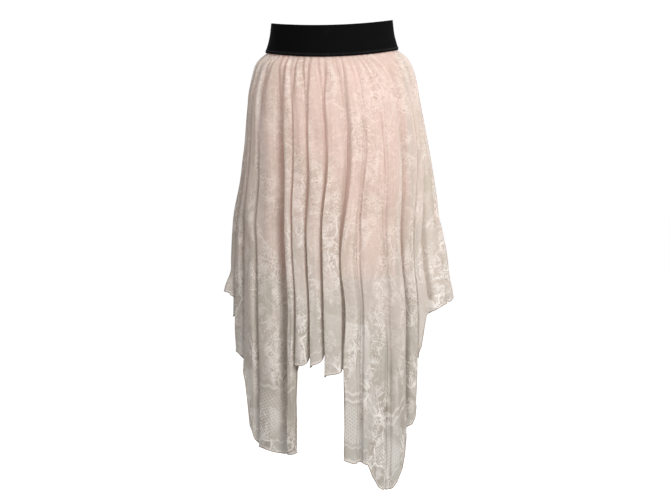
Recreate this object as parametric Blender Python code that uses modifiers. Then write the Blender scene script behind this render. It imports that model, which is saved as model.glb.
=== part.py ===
"""A lace skirt with a handkerchief hem over a short slip, filled out as when worn.

The front faces -Y and +Z is up. The origin is the middle of the elastic waistband. The lace was
cut square, with a gathered hole for the waist, so it hangs in upright folds with two short hems,
two shorter sides and four long points. A drop is a depth below the waistband's lower edge.
"""

import math
from bisect import bisect_right
from collections import namedtuple

import bpy
from mathutils import Vector

# Walls and clearances
ELASTIC_WALL = 0.0020
LACE_WALL = 0.0012
LINING_WALL = 0.0010
SEAM_GAP = 0.0011

# Waistband, a tube that widens towards the hips, with the heights of its edges at the sides
BAND_LOWER_Z = -0.0262
BAND_UPPER_Z = 0.0315
BAND_TILT = math.radians(1.4)
FRONT_DIP_UPPER = 0.0058
FRONT_DIP_LOWER = 0.0080
BACK_DIP = 0.0075
BAND_COLUMNS = 72

# The height that drops are counted from, and the drop below which the band's edge shapes nothing
WAISTLINE_Z = -0.0310
EDGE_FADE = 0.1200

# Gathers drawn in under the waistband, each fold holding a whole number of them
GATHERS_PER_FOLD = 2
COLUMNS_PER_FOLD = 8

# How round the cloth turns at the crests and in the valleys of open folds, up to 1
ROUND_TURNS = 0.85

# The drops of the lace's level rows, and how far above the hem the last one stays
LEVEL_DROPS = (
    -0.0080, 0.0006, 0.0070, 0.0190, 0.0420, 0.0800, 0.1350, 0.2150, 0.3100, 0.4000,
    0.4420, 0.5200, 0.6100, 0.7000, 0.7600
)
HEM_CLEAR = 0.0160
FLICK_LENGTH = 0.0450

# Slip
LINING_COLUMNS = 72
LINING_WAVES = 9
LINING_WAVE = 0.0040

# A section of the waistband
Section = namedtuple("Section", "height half_width half_depth")
BAND = (
    Section(0.0, 0.1310, 0.0970),
    Section(0.5, 0.1230, 0.0907),
    Section(1.0, 0.1192, 0.0875),
)

# A ring that the crests of the lace follow. Growth is how much of each fold has opened there.
Ring = namedtuple("Ring", "drop half_width half_depth shift growth gather")
RINGS = (
    Ring(-0.0080, 0.1244, 0.0905, 0.0000, 0.00, 0.0005),
    Ring(0.0006, 0.1266, 0.0927, 0.0000, 0.00, 0.0009),
    Ring(0.0070, 0.1345, 0.0990, 0.0005, 0.03, 0.0026),
    Ring(0.0190, 0.1460, 0.1090, 0.0015, 0.09, 0.0034),
    Ring(0.0420, 0.1568, 0.1185, 0.0028, 0.20, 0.0028),
    Ring(0.0800, 0.1672, 0.1280, 0.0028, 0.33, 0.0012),
    Ring(0.1350, 0.1755, 0.1385, 0.0066, 0.47, 0.0000),
    Ring(0.2150, 0.1875, 0.1505, 0.0104, 0.68, 0.0000),
    Ring(0.3200, 0.2055, 0.1645, 0.0096, 0.90, 0.0000),
    Ring(0.4000, 0.2160, 0.1735, 0.0140, 1.00, 0.0000),
    Ring(0.4700, 0.2215, 0.1795, 0.0190, 1.05, 0.0000),
    Ring(0.6000, 0.2225, 0.1840, 0.0190, 1.12, 0.0000),
    Ring(0.8800, 0.2215, 0.1880, 0.0190, 1.20, 0.0000),
)

# A fold of the lace: where its crest stands, in degrees round from the front towards +X, at the
# waist, the hips and the hem; where its valley sits between this crest (0) and the next (1), past
# 1 or under 0 where the fold leans over it; the valley's depth, how far the crest falls short of
# the ring, the drops of its hem at both, and how far the hem flicks out.
Fold = namedtuple(
    "Fold", "waist hip low valley_at depth short crest_hem valley_hem flick"
)
FOLDS = (
    Fold(-85, -84, -80, 0.50, 0.042, 0.000, 0.466, 0.490, 0.013),
    Fold(-73, -74, -70, 0.42, 0.036, 0.002, 0.584, 0.618, 0.000),
    Fold(-62, -65, -54, 0.50, 0.044, 0.000, 0.742, 0.758, 0.002),
    Fold(-50, -52, -44, 0.38, 0.050, 0.000, 0.765, 0.768, 0.000),
    Fold(-38, -35.5, -28.8, 0.48, 0.026, 0.000, 0.768, 0.728, 0.000),
    Fold(-28, -26, -22.8, 0.76, 0.042, 0.000, 0.585, 0.577, 0.000),
    Fold(-16, -16.5, -15.5, 0.90, 0.042, 0.000, 0.590, 0.571, 0.000),
    Fold(-3, -4, -8.6, 0.98, 0.044, 0.000, 0.607, 0.598, 0.000),
    Fold(10, 10, 1.6, 0.55, 0.018, 0.000, 0.776, 0.779, 0.000),
    Fold(19, 24, 16, 0.50, 0.014, 0.004, 0.812, 0.838, 0.000),
    Fold(28, 40, 32, 0.40, 0.044, 0.000, 0.796, 0.748, 0.000),
    Fold(42, 58, 40, 0.48, 0.024, 0.000, 0.700, 0.640, 0.000),
    Fold(57, 67, 46, 0.46, 0.032, 0.002, 0.560, 0.502, 0.000),
    Fold(72, 76, 63, 0.50, 0.036, 0.000, 0.494, 0.492, 0.002),
    Fold(87, 88, 83, 0.50, 0.042, 0.000, 0.492, 0.502, 0.004),
    Fold(102, 102, 101, 0.54, 0.046, 0.002, 0.505, 0.500, 0.000),
    Fold(117, 118, 119, 0.62, 0.044, 0.000, 0.504, 0.540, 0.000),
    Fold(133, 134, 136, 0.70, 0.046, 0.000, 0.640, 0.740, 0.000),
    Fold(149, 150, 151, 0.62, 0.046, 0.000, 0.770, 0.690, 0.000),
    Fold(166, 166, 166, 0.66, 0.044, 0.002, 0.575, 0.562, 0.000),
    Fold(183, 183, 181, 0.40, 0.048, 0.000, 0.556, 0.548, 0.000),
    Fold(200, 200, 199, 0.30, 0.046, 0.000, 0.566, 0.590, 0.000),
    Fold(216, 216, 215, 0.38, 0.046, 0.000, 0.700, 0.752, 0.000),
    Fold(234, 233, 232, 0.44, 0.046, 0.000, 0.742, 0.640, 0.000),
    Fold(254, 253, 256, 0.55, 0.046, 0.000, 0.530, 0.480, 0.000),
)
# The cloth drifts from one column of azimuths to the next between these drops
HIP_DROP = 0.1100
LOW_DROP = 0.4200
# The front panel has the first folds, and is seamed to the back one on the slopes before a crest
FRONT_FOLDS = 15
SEAM_AT = 0.125

# A ring of the slip
Hoop = namedtuple("Hoop", "drop half_width half_depth shift")
HOOPS = (
    Hoop(-0.0060, 0.1228, 0.0888, 0.0000),
    Hoop(0.0100, 0.1245, 0.0915, 0.0000),
    Hoop(0.0420, 0.1385, 0.1000, 0.0015),
    Hoop(0.0900, 0.1435, 0.1050, 0.0025),
    Hoop(0.1400, 0.1455, 0.1075, 0.0050),
    Hoop(0.2200, 0.1465, 0.1100, 0.0080),
    Hoop(0.3200, 0.1495, 0.1130, 0.0100),
    Hoop(0.4300, 0.1535, 0.1160, 0.0120),
)


def ease(share):
    """A smooth step from 0 to 1."""
    held = min(max(share, 0.0), 1.0)
    return held * held * (3.0 - 2.0 * held)


def gentle_ease(share):
    """A smooth step from 0 to 1 that stays longer at its ends."""
    return share * share * share * (10.0 - 15.0 * share + 6.0 * share * share)


def curve_through(places, values, place):
    """The smooth curve through these values, read at one place and held level past its ends."""
    if place <= places[0]:
        return values[0]
    if place >= places[-1]:
        return values[-1]
    i = bisect_right(places, place) - 1
    step = places[i + 1] - places[i]
    slopes = []
    for j in (i, i + 1):
        before = max(j - 1, 0)
        after = min(j + 1, len(places) - 1)
        slopes.append((values[after] - values[before]) / (places[after] - places[before]))
    t = (place - places[i]) / step
    return (
        (1 + 2 * t) * (1 - t) ** 2 * values[i]
        + t * (1 - t) ** 2 * step * slopes[0]
        + t * t * (3 - 2 * t) * values[i + 1]
        - t * t * (1 - t) * step * slopes[1]
    )


def read_table(table, column, place):
    """One column of a table of sections, read on a smooth curve over its first column."""
    places = [row[0] for row in table]
    values = [getattr(row, column) for row in table]
    return curve_through(places, values, place)


def band_edge(azimuth, upper):
    """The height of the waistband's upper or lower edge, which dips in front and behind."""
    facing = math.cos(azimuth)
    side = math.sin(azimuth)
    front_dip = FRONT_DIP_UPPER if upper else FRONT_DIP_LOWER
    dip = (front_dip if facing > 0 else BACK_DIP) * facing * facing
    level = BAND_UPPER_Z if upper else BAND_LOWER_Z
    return level - dip + math.tan(BAND_TILT) * BAND[0].half_width * side


def height_of(azimuth, drop):
    """The height of a point this far below the waistband, whose edge shapes only what is near it."""
    near = 1.0 - ease(drop / EDGE_FADE)
    return WAISTLINE_Z - drop + near * (band_edge(azimuth, False) - WAISTLINE_Z)


def on_oval(half_width, half_depth, shift, azimuth, outward):
    """A point beside an oval, this far outward from it, at an azimuth from the front."""
    across = math.sin(azimuth)
    ahead = math.cos(azimuth)
    normal_x = across / half_width
    normal_y = ahead / half_depth
    length = math.hypot(normal_x, normal_y)
    x = shift + half_width * across + outward * normal_x / length
    y = -half_depth * ahead - outward * normal_y / length
    return x, y


def fold_stations(column, growth):
    """The crests and valleys round the skirt in order, with one more on each side of the first."""
    count = len(FOLDS)
    azimuths = []
    for k in range(-2, count + 3):
        turn, row = divmod(k, count)
        fold = FOLDS[row]
        azimuths.append(360.0 * turn + getattr(fold, column))
    stations = []
    for k in range(-2, count + 2):
        fold = FOLDS[k % count]
        here = azimuths[k + 2]
        after = azimuths[k + 3]
        valley_at = 0.5 + (fold.valley_at - 0.5) * min(growth, 1.0)
        stations += [here, here + valley_at * (after - here)]
    return stations


def around(stations, u, rounding):
    """A smooth curve through stations at every half fold, read at u folds from the first crest.

    Rounding hurries it past the stations, which makes the turns there wider.
    """
    place = 2.0 * u + 4.0
    i = int(math.floor(place))
    t = place - i
    t += rounding * math.sin(2 * math.pi * t) / (2 * math.pi)
    before, here, after, beyond = stations[i - 1 : i + 3]
    return 0.5 * (
        2 * here
        + (after - before) * t
        + (2 * before - 5 * here + 4 * after - beyond) * t * t
        + (3 * here - before - 3 * after + beyond) * t * t * t
    )


def fold_azimuth(u, drop, growth):
    """The azimuth of the cloth at u folds, which drifts as it falls."""
    rounding = ROUND_TURNS * min(growth, 1.0)
    waist, hip, low = (
        around(fold_stations(column, growth), u, rounding) for column in ("waist", "hip", "low")
    )
    past_hip = ease((drop - HIP_DROP) / (LOW_DROP - HIP_DROP))
    to_hip = math.sin(0.5 * math.pi * min(max(drop / HIP_DROP, 0.0), 1.0))
    return math.radians(waist + to_hip * (hip - waist) + past_hip * (low - hip))


def between_crest_and_valley(u, crest_column, valley_column):
    """A column of the fold table eased from each crest to its valley and on to the next crest."""
    count = len(FOLDS)
    k = int(math.floor(u))
    half = 2.0 * (u - k)
    crest = getattr(FOLDS[k % count], crest_column)
    valley = getattr(FOLDS[k % count], valley_column)
    if half < 1.0:
        return crest + gentle_ease(half) * (valley - crest)
    next_crest = getattr(FOLDS[(k + 1) % count], crest_column)
    return valley + gentle_ease(half - 1.0) * (next_crest - valley)


def lace_point(u, drop, hem):
    """A point of the lace's middle surface, at u folds round from the first crest."""
    growth = read_table(RINGS, "growth", drop)
    azimuth = fold_azimuth(u, drop, growth)
    inward = growth * between_crest_and_valley(u, "short", "depth")
    gather = read_table(RINGS, "gather", drop) * math.cos(2 * math.pi * GATHERS_PER_FOLD * u)
    flick = between_crest_and_valley(u, "flick", "flick") * ease(1 - (hem - drop) / FLICK_LENGTH)
    x, y = on_oval(
        read_table(RINGS, "half_width", drop),
        read_table(RINGS, "half_depth", drop),
        read_table(RINGS, "shift", drop),
        azimuth,
        flick + gather - inward,
    )
    return x, y, height_of(azimuth, drop)


def lace_drops(hem):
    """The drops of one column's points, from the seam inside the waistband to the hem."""
    return [drop for drop in LEVEL_DROPS if drop < hem - HEM_CLEAR] + [hem]


def waistband_point(azimuth, height):
    """A point of the waistband's outer surface, from its lower edge (0) to its upper edge (1)."""
    lower = band_edge(azimuth, False)
    upper = band_edge(azimuth, True)
    x, y = on_oval(
        read_table(BAND, "half_width", height),
        read_table(BAND, "half_depth", height),
        0.0,
        azimuth,
        0.0,
    )
    return x, y, lower + height * (upper - lower)


def lining_point(azimuth, drop):
    """A point of the slip's middle surface, which falls in a few soft waves."""
    fall = ease(drop / HOOPS[-1].drop)
    x, y = on_oval(
        read_table(HOOPS, "half_width", drop),
        read_table(HOOPS, "half_depth", drop),
        read_table(HOOPS, "shift", drop),
        azimuth,
        LINING_WAVE * fall * (math.cos(LINING_WAVES * azimuth) - 1.0),
    )
    return x, y, height_of(azimuth, drop)


def faces_between(left, right):
    """The faces between two columns of vertex numbers, the last one down to both their ends."""
    level = min(len(left), len(right)) - 2
    faces = [(left[j], left[j + 1], right[j + 1], right[j]) for j in range(level)]
    faces.append(left[level:] + right[level:][::-1])
    return faces


def lofted_wall(name, columns, closed, wall, outward, material, collection):
    """A wall through columns of points that run downwards, each column further round the skirt."""
    vertices = []
    numbers = []
    for column in columns:
        numbers.append(list(range(len(vertices), len(vertices) + len(column))))
        vertices += column
    faces = []
    for i in range(len(columns) if closed else len(columns) - 1):
        faces += faces_between(numbers[i], numbers[(i + 1) % len(columns)])
    mesh = bpy.data.meshes.new(name)
    mesh.from_pydata(vertices, [], faces)
    mesh.validate()
    mesh.shade_smooth()
    mesh.materials.append(material)
    wall_object = bpy.data.objects.new(name, mesh)
    collection.objects.link(wall_object)
    thickness = wall_object.modifiers.new("Wall", "SOLIDIFY")
    thickness.thickness = wall
    thickness.offset = outward
    return wall_object


def cloth(name, colour, roughness):
    """A plain fabric material."""
    material = bpy.data.materials.new(name)
    material.use_nodes = True
    shader = material.node_tree.nodes["Principled BSDF"]
    shader.inputs["Base Color"].default_value = (*colour, 1.0)
    shader.inputs["Roughness"].default_value = roughness
    shader.inputs["Metallic"].default_value = 0.0
    return material


def build_waistband(collection):
    """The wide elastic, one tube with its upper and lower edges dipping in front."""
    heights = (0.0, 0.34, 0.67, 1.0)
    columns = []
    for i in range(BAND_COLUMNS):
        azimuth = 2 * math.pi * i / BAND_COLUMNS
        columns.append([waistband_point(azimuth, height) for height in reversed(heights)])
    black = cloth("black_elastic", (0.006, 0.006, 0.007), 0.75)
    return lofted_wall("waistband", columns, True, ELASTIC_WALL, -1.0, black, collection)


def draw_back_seams(columns):
    """Shortens a panel at both side seams, which leaves a gap between it and the next one."""
    for end, beside in ((columns[0], columns[1]), (columns[-1], columns[-2])):
        for j, point in enumerate(end):
            here = Vector(point)
            along = (Vector(beside[min(j, len(beside) - 1)]) - here).normalized()
            end[j] = tuple(here + along * 0.5 * SEAM_GAP)


def build_lace(name, first, last, material, collection):
    """One panel of the lace, from the side seam before one fold to the seam before another."""
    columns = []
    for i in range(COLUMNS_PER_FOLD * (last - first) + 1):
        u = first - SEAM_AT + i / COLUMNS_PER_FOLD
        hem = between_crest_and_valley(u, "crest_hem", "valley_hem")
        columns.append([lace_point(u, drop, hem) for drop in lace_drops(hem)])
    draw_back_seams(columns)
    return lofted_wall(name, columns, False, LACE_WALL, 0.0, material, collection)


def build_lining(name, start, end, material, collection):
    """Half of the slip, between two azimuths at its side seams."""
    steps = LINING_COLUMNS // 2
    columns = []
    for i in range(steps + 1):
        azimuth = start + (end - start) * i / steps
        columns.append([lining_point(azimuth, hoop.drop) for hoop in HOOPS])
    draw_back_seams(columns)
    return lofted_wall(name, columns, False, LINING_WALL, 0.0, material, collection)


def build_skirt():
    """The whole skirt, in a collection of its own."""
    for leftover in list(bpy.data.objects):
        bpy.data.objects.remove(leftover, do_unlink=True)
    collection = bpy.data.collections.new("lace_skirt")
    bpy.context.scene.collection.children.link(collection)
    lace = cloth("cream_lace", (0.68, 0.60, 0.53), 0.85)
    blush = cloth("blush_lining", (0.80, 0.55, 0.47), 0.55)
    build_waistband(collection)
    build_lace("lace_front", 0, FRONT_FOLDS, lace, collection)
    build_lace("lace_back", FRONT_FOLDS, len(FOLDS), lace, collection)
    build_lining("lining_front", -math.pi / 2, math.pi / 2, blush, collection)
    build_lining("lining_back", math.pi / 2, 3 * math.pi / 2, blush, collection)


build_skirt()
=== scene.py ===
"""The looks of a sheer lace skirt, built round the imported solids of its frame.

The skirt hangs as when worn: a wide black elastic, a lace cut square and gathered on to it, whose
corners fall in four long points, and a short blush slip beneath. The front faces -Y and the origin
is the middle of the elastic. A drop is a depth below the elastic's lower edge, in metres, and a
fold number counts the lace's folds round from the wearer's right, whole at crests and halfway in
valleys.
"""

import logging
import math
from dataclasses import dataclass, field
from enum import Enum
from typing import Iterable, NamedTuple, Sequence, Union

import bpy
import numpy as np
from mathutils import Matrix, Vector


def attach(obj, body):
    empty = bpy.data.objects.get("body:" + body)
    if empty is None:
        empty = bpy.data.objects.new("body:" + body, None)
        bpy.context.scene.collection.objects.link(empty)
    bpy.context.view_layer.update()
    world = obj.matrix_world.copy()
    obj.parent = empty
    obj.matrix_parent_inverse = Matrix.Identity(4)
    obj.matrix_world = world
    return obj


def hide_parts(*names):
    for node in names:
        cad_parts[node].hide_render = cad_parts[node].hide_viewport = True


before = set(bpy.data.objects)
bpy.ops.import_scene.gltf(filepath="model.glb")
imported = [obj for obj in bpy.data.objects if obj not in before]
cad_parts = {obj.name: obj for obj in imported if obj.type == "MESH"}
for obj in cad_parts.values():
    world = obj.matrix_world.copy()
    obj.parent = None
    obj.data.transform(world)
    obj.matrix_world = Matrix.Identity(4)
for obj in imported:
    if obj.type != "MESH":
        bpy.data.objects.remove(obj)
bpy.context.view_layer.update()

log = logging.getLogger("lace_skirt")

Colour = tuple[float, float, float]
Place = tuple[float, float, float]
Number = Union[float, "Tone"]

TURN = 2.0 * math.pi


class Side(Enum):
    """The two halves that the lace and the slip are each sewn from."""

    FRONT = "front"
    BACK = "back"


class BandSection(NamedTuple):
    """A level of the elastic, from its lower edge (0) to its upper edge (1)."""

    height: float
    half_width: float
    half_depth: float


class Ring(NamedTuple):
    """A level oval that the crests of the lace follow, and how far each fold has opened there."""

    drop: float
    half_width: float
    half_depth: float
    shift: float
    growth: float
    gather: float


class Fold(NamedTuple):
    """A fold of the lace.

    The crest's azimuths are in degrees round from the front towards +X, at the waist, the hips and
    the hem. The valley's place is a share of the way to the next crest. The rest are the valley's
    depth, how far the crest falls short of the oval, the hem's drops at both, and how far the hem
    flicks out.
    """

    waist: float
    hip: float
    low: float
    valley_at: float
    depth: float
    short: float
    crest_hem: float
    valley_hem: float
    flick: float


class HemPlace(NamedTuple):
    """A place on the front's hem, from the left long point to the right side."""

    fold: float
    drop: float


class Hoop(NamedTuple):
    """A level oval of the slip."""

    drop: float
    half_width: float
    half_depth: float
    shift: float


class Motif(NamedTuple):
    """A kind of motif in the lace: how far apart it lies and how far it reaches."""

    spacing: float
    reach: float


class Lamp(NamedTuple):
    """A soft square light, with its side and its power in watts."""

    name: str
    place: Place
    side: float
    power: float
    colour: Colour


BAND = (
    BandSection(0.0, 0.1310, 0.0970),
    BandSection(0.5, 0.1230, 0.0907),
    BandSection(1.0, 0.1192, 0.0875),
)

RINGS = (
    Ring(-0.0080, 0.1244, 0.0905, 0.0000, 0.00, 0.0005),
    Ring(0.0006, 0.1266, 0.0927, 0.0000, 0.00, 0.0009),
    Ring(0.0070, 0.1345, 0.0990, 0.0005, 0.03, 0.0026),
    Ring(0.0190, 0.1460, 0.1090, 0.0015, 0.09, 0.0034),
    Ring(0.0420, 0.1568, 0.1185, 0.0028, 0.20, 0.0028),
    Ring(0.0800, 0.1672, 0.1280, 0.0028, 0.33, 0.0012),
    Ring(0.1350, 0.1755, 0.1385, 0.0066, 0.47, 0.0000),
    Ring(0.2150, 0.1875, 0.1505, 0.0104, 0.68, 0.0000),
    Ring(0.3200, 0.2055, 0.1645, 0.0096, 0.90, 0.0000),
    Ring(0.4000, 0.2160, 0.1735, 0.0140, 1.00, 0.0000),
    Ring(0.4700, 0.2215, 0.1795, 0.0190, 1.05, 0.0000),
    Ring(0.6000, 0.2225, 0.1840, 0.0190, 1.12, 0.0000),
    Ring(0.8800, 0.2215, 0.1880, 0.0190, 1.20, 0.0000),
)

FOLDS = (
    Fold(-85, -84, -80, 0.50, 0.042, 0.000, 0.466, 0.490, 0.013),
    Fold(-73, -74, -70, 0.42, 0.036, 0.002, 0.584, 0.618, 0.000),
    Fold(-62, -65, -54, 0.50, 0.044, 0.000, 0.742, 0.758, 0.002),
    Fold(-50, -51, -43.5, 0.78, 0.066, 0.000, 0.765, 0.768, 0.000),
    Fold(-38, -32.2, -27.2, 0.48, 0.026, 0.000, 0.768, 0.728, 0.000),
    Fold(-28, -24.6, -22.2, 0.76, 0.042, 0.000, 0.585, 0.577, 0.000),
    Fold(-16, -15.0, -15.0, 0.90, 0.042, 0.000, 0.590, 0.571, 0.000),
    Fold(-3, -2.6, -8.2, 0.98, 0.044, 0.000, 0.607, 0.598, 0.000),
    Fold(10, 11.2, 1.6, 0.55, 0.018, 0.000, 0.776, 0.779, 0.000),
    Fold(19, 24, 16, 0.50, 0.014, 0.004, 0.812, 0.838, 0.000),
    Fold(28, 40, 32, 0.40, 0.044, 0.000, 0.796, 0.748, 0.000),
    Fold(42, 58, 40, 0.48, 0.024, 0.000, 0.700, 0.640, 0.000),
    Fold(57, 67, 43.5, 0.46, 0.032, 0.002, 0.560, 0.502, 0.000),
    Fold(72, 76, 63, 0.50, 0.036, 0.000, 0.494, 0.492, 0.002),
    Fold(87, 88, 83, 0.50, 0.042, 0.000, 0.492, 0.502, 0.004),
    Fold(102, 102, 101, 0.54, 0.046, 0.002, 0.488, 0.500, 0.000),
    Fold(117, 118, 119, 0.62, 0.044, 0.000, 0.504, 0.540, 0.000),
    Fold(133, 134, 136, 0.70, 0.046, 0.000, 0.640, 0.740, 0.000),
    Fold(149, 150, 151, 0.62, 0.046, 0.000, 0.770, 0.690, 0.000),
    Fold(166, 166, 166, 0.66, 0.044, 0.002, 0.575, 0.562, 0.000),
    Fold(183, 183, 181, 0.40, 0.048, 0.000, 0.556, 0.548, 0.000),
    Fold(200, 200, 199, 0.30, 0.046, 0.000, 0.566, 0.590, 0.000),
    Fold(216, 216, 215, 0.38, 0.046, 0.000, 0.700, 0.752, 0.000),
    Fold(234, 233, 232, 0.44, 0.046, 0.000, 0.742, 0.640, 0.000),
    Fold(254, 253, 256, 0.55, 0.046, 0.000, 0.530, 0.480, 0.000),
)

HOOPS = (
    Hoop(-0.006, 0.1228, 0.0888, 0.0000),
    Hoop(0.010, 0.1245, 0.0915, 0.0000),
    Hoop(0.042, 0.1385, 0.1000, 0.0015),
    Hoop(0.090, 0.1435, 0.1050, 0.0025),
    Hoop(0.140, 0.1455, 0.1075, 0.0050),
    Hoop(0.220, 0.1465, 0.1100, 0.0080),
    Hoop(0.320, 0.1495, 0.1130, 0.0100),
    Hoop(0.430, 0.1535, 0.1160, 0.0120),
)

FRONT_HEM = tuple(
    HemPlace(*pair)
    for pair in (
        (1.50, 0.616), (1.88, 0.612), (1.95, 0.640), (2.00, 0.722), (2.06, 0.733), (2.12, 0.742),
        (2.19, 0.752), (2.25, 0.762), (2.31, 0.769), (2.50, 0.775), (2.75, 0.765), (2.81, 0.760),
        (3.00, 0.757), (3.12, 0.764), (3.25, 0.772), (3.50, 0.776), (3.75, 0.771), (4.00, 0.758),
        (4.22, 0.754), (4.38, 0.742), (4.46, 0.728), (4.52, 0.690), (4.58, 0.640), (4.64, 0.587),
        (5.05, 0.587), (5.20, 0.580), (5.40, 0.568), (5.60, 0.572), (5.70, 0.592), (5.92, 0.589),
        (6.10, 0.579), (6.30, 0.565), (6.60, 0.572), (6.70, 0.609), (6.95, 0.606), (7.12, 0.599),
        (7.30, 0.594), (7.50, 0.604), (7.66, 0.740), (7.78, 0.758), (7.92, 0.766), (8.00, 0.769),
        (8.10, 0.776), (8.76, 0.777), (8.94, 0.780), (9.00, 0.805), (9.06, 0.826), (9.12, 0.831),
        (9.50, 0.834), (9.80, 0.832), (9.88, 0.829), (9.94, 0.818), (10.00, 0.792), (10.06, 0.742),
        (10.12, 0.728), (10.25, 0.720), (10.50, 0.716), (10.80, 0.715), (10.94, 0.708),
        (11.00, 0.695), (11.10, 0.680), (11.40, 0.642), (11.70, 0.606), (11.88, 0.582),
        (11.94, 0.572), (12.00, 0.558), (12.04, 0.520), (12.08, 0.500), (12.20, 0.496),
        (12.55, 0.495), (12.65, 0.500), (12.75, 0.498), (12.81, 0.494), (12.90, 0.489),
        (13.00, 0.485), (13.10, 0.484), (13.50, 0.480), (13.75, 0.483), (13.88, 0.486),
        (13.94, 0.482), (14.00, 0.478), (14.25, 0.488), (14.50, 0.502),
    )
)

LEAVES = Motif(0.033, 0.0180)
SPRIGS = Motif(0.022, 0.0120)
LARGE_BLOSSOMS = Motif(0.074, 0.0240)
SMALL_BLOSSOMS = Motif(0.035, 0.0120)
KNOTS = Motif(0.0060, 0.0011)
EYELETS = Motif(0.0058, 0.0009)

LAMPS = (
    Lamp("window_right", (0.85, -1.95, 0.80), 1.1, 69.0, (1.0, 0.99, 0.98)),
    Lamp("side_right", (2.2, 0.3, 0.6), 1.4, 22.0, (1.0, 0.99, 0.98)),
    Lamp("fill_left", (-2.2, -2.4, 0.9), 2.2, 18.0, (0.97, 0.98, 1.0)),
    Lamp("behind", (-0.4, 2.4, 0.9), 2.2, 17.0, (1.0, 1.0, 1.0)),
)


def ease(share: np.ndarray) -> np.ndarray:
    """A smooth step from 0 to 1."""
    held = np.clip(share, 0.0, 1.0)
    return held * held * (3.0 - 2.0 * held)


def gentle_ease(share: np.ndarray) -> np.ndarray:
    """A smooth step from 0 to 1 that stays longer at its ends."""
    return share**3 * (10.0 - 15.0 * share + 6.0 * share * share)


def curve_through(places: Sequence[float], values: Sequence[float], at: np.ndarray) -> np.ndarray:
    """Reads the smooth curve through some values, held level past its ends.

    Args:
        places: where the values stand, in rising order.
        values: the values there.
        at: where to read the curve.

    Returns:
        The curve's value at each place that was asked for.
    """
    x = np.asarray(places, float)
    y = np.asarray(values, float)
    last = len(x) - 1
    before = np.maximum(np.arange(last + 1) - 1, 0)
    after = np.minimum(np.arange(last + 1) + 1, last)
    slopes = (y[after] - y[before]) / (x[after] - x[before])
    held = np.clip(at, x[0], x[-1])
    i = np.clip(np.searchsorted(x, held, side="right") - 1, 0, last - 1)
    step = x[i + 1] - x[i]
    t = (held - x[i]) / step
    return (
        (1 + 2 * t) * (1 - t) ** 2 * y[i]
        + t * (1 - t) ** 2 * step * slopes[i]
        + t * t * (3 - 2 * t) * y[i + 1]
        - t * t * (1 - t) * step * slopes[i + 1]
    )


def read_table(table: Sequence[NamedTuple], column: str, at: np.ndarray) -> np.ndarray:
    """Reads one column of a table of sections on a smooth curve over its first column."""
    return curve_through([row[0] for row in table], [getattr(row, column) for row in table], at)


def on_oval(
    half_width: np.ndarray,
    half_depth: np.ndarray,
    shift: np.ndarray,
    azimuth: np.ndarray,
    outward: np.ndarray,
) -> tuple[np.ndarray, np.ndarray]:
    """Places points beside an oval.

    Args:
        half_width: the oval's half width.
        half_depth: the oval's half depth.
        shift: how far its middle lies towards +X.
        azimuth: the angle round from the front.
        outward: how far outside the oval each point lies.

    Returns:
        The points' x and y.
    """
    across = np.sin(azimuth)
    ahead = np.cos(azimuth)
    length = np.hypot(across / half_width, ahead / half_depth)
    x = shift + half_width * across + outward * across / half_width / length
    y = -half_depth * ahead - outward * ahead / half_depth / length
    return x, y


def wander(place: np.ndarray, seed: int, waves: Sequence[int], turns: float) -> np.ndarray:
    """A smooth uneven value between about -1 and 1 that closes on itself round the skirt.

    Args:
        place: where it is read, with one whole turn being `turns` long.
        seed: the draw that sets its waves' phases.
        waves: how many waves of each kind go round.
        turns: the length of a whole turn in the place's units.

    Returns:
        The value at each place.
    """
    phases = np.random.default_rng(seed).uniform(0, TURN, len(waves))
    total = sum(np.sin(TURN * count * place / turns + phase) for count, phase in zip(waves, phases))
    return total / math.sqrt(len(waves))


def level_outward(points: np.ndarray) -> np.ndarray:
    """The level direction away from the skirt's upright line at each point."""
    outward = points * (1.0, 1.0, 0.0)
    return outward / np.linalg.norm(outward, axis=-1, keepdims=True)


def bake_places(columns: int, rows: int) -> np.ndarray:
    """Even places for the map that finishes are baked on, a little inside its edges."""
    across, down = np.meshgrid(
        np.linspace(0.005, 0.995, columns), np.linspace(0.995, 0.005, rows), indexing="ij"
    )
    return np.stack([across, down], axis=-1)


def tube_faces(rings: int, sides: int, first: int = 0) -> list[tuple[int, ...]]:
    """Joins rings of points into a strand that is closed at both ends.

    Args:
        rings: how many rings there are.
        sides: how many points each ring has.
        first: the number of the first point.

    Returns:
        The point numbers of each face.
    """
    faces = []
    for here in range(first, first + (rings - 1) * sides, sides):
        there = here + sides
        for j in range(sides):
            k = (j + 1) % sides
            faces.append((here + j, here + k, there + k, there + j))
    last = first + (rings - 1) * sides
    faces.append(tuple(range(first, first + sides))[::-1])
    faces.append(tuple(range(last, last + sides)))
    return faces


def new_piece(
    name: str, vertices: list, faces: list, material: bpy.types.Material
) -> bpy.types.Object:
    """Makes a smooth mesh object.

    Args:
        name: the object's name.
        vertices: its points.
        faces: the point numbers of each face.
        material: its finish.

    Returns:
        The object, linked to the scene.
    """
    mesh = bpy.data.meshes.new(name)
    mesh.from_pydata(vertices, [], faces)
    mesh.shade_smooth()
    mesh.materials.append(material)
    piece = bpy.data.objects.new(name, mesh)
    bpy.context.scene.collection.objects.link(piece)
    return piece


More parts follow.
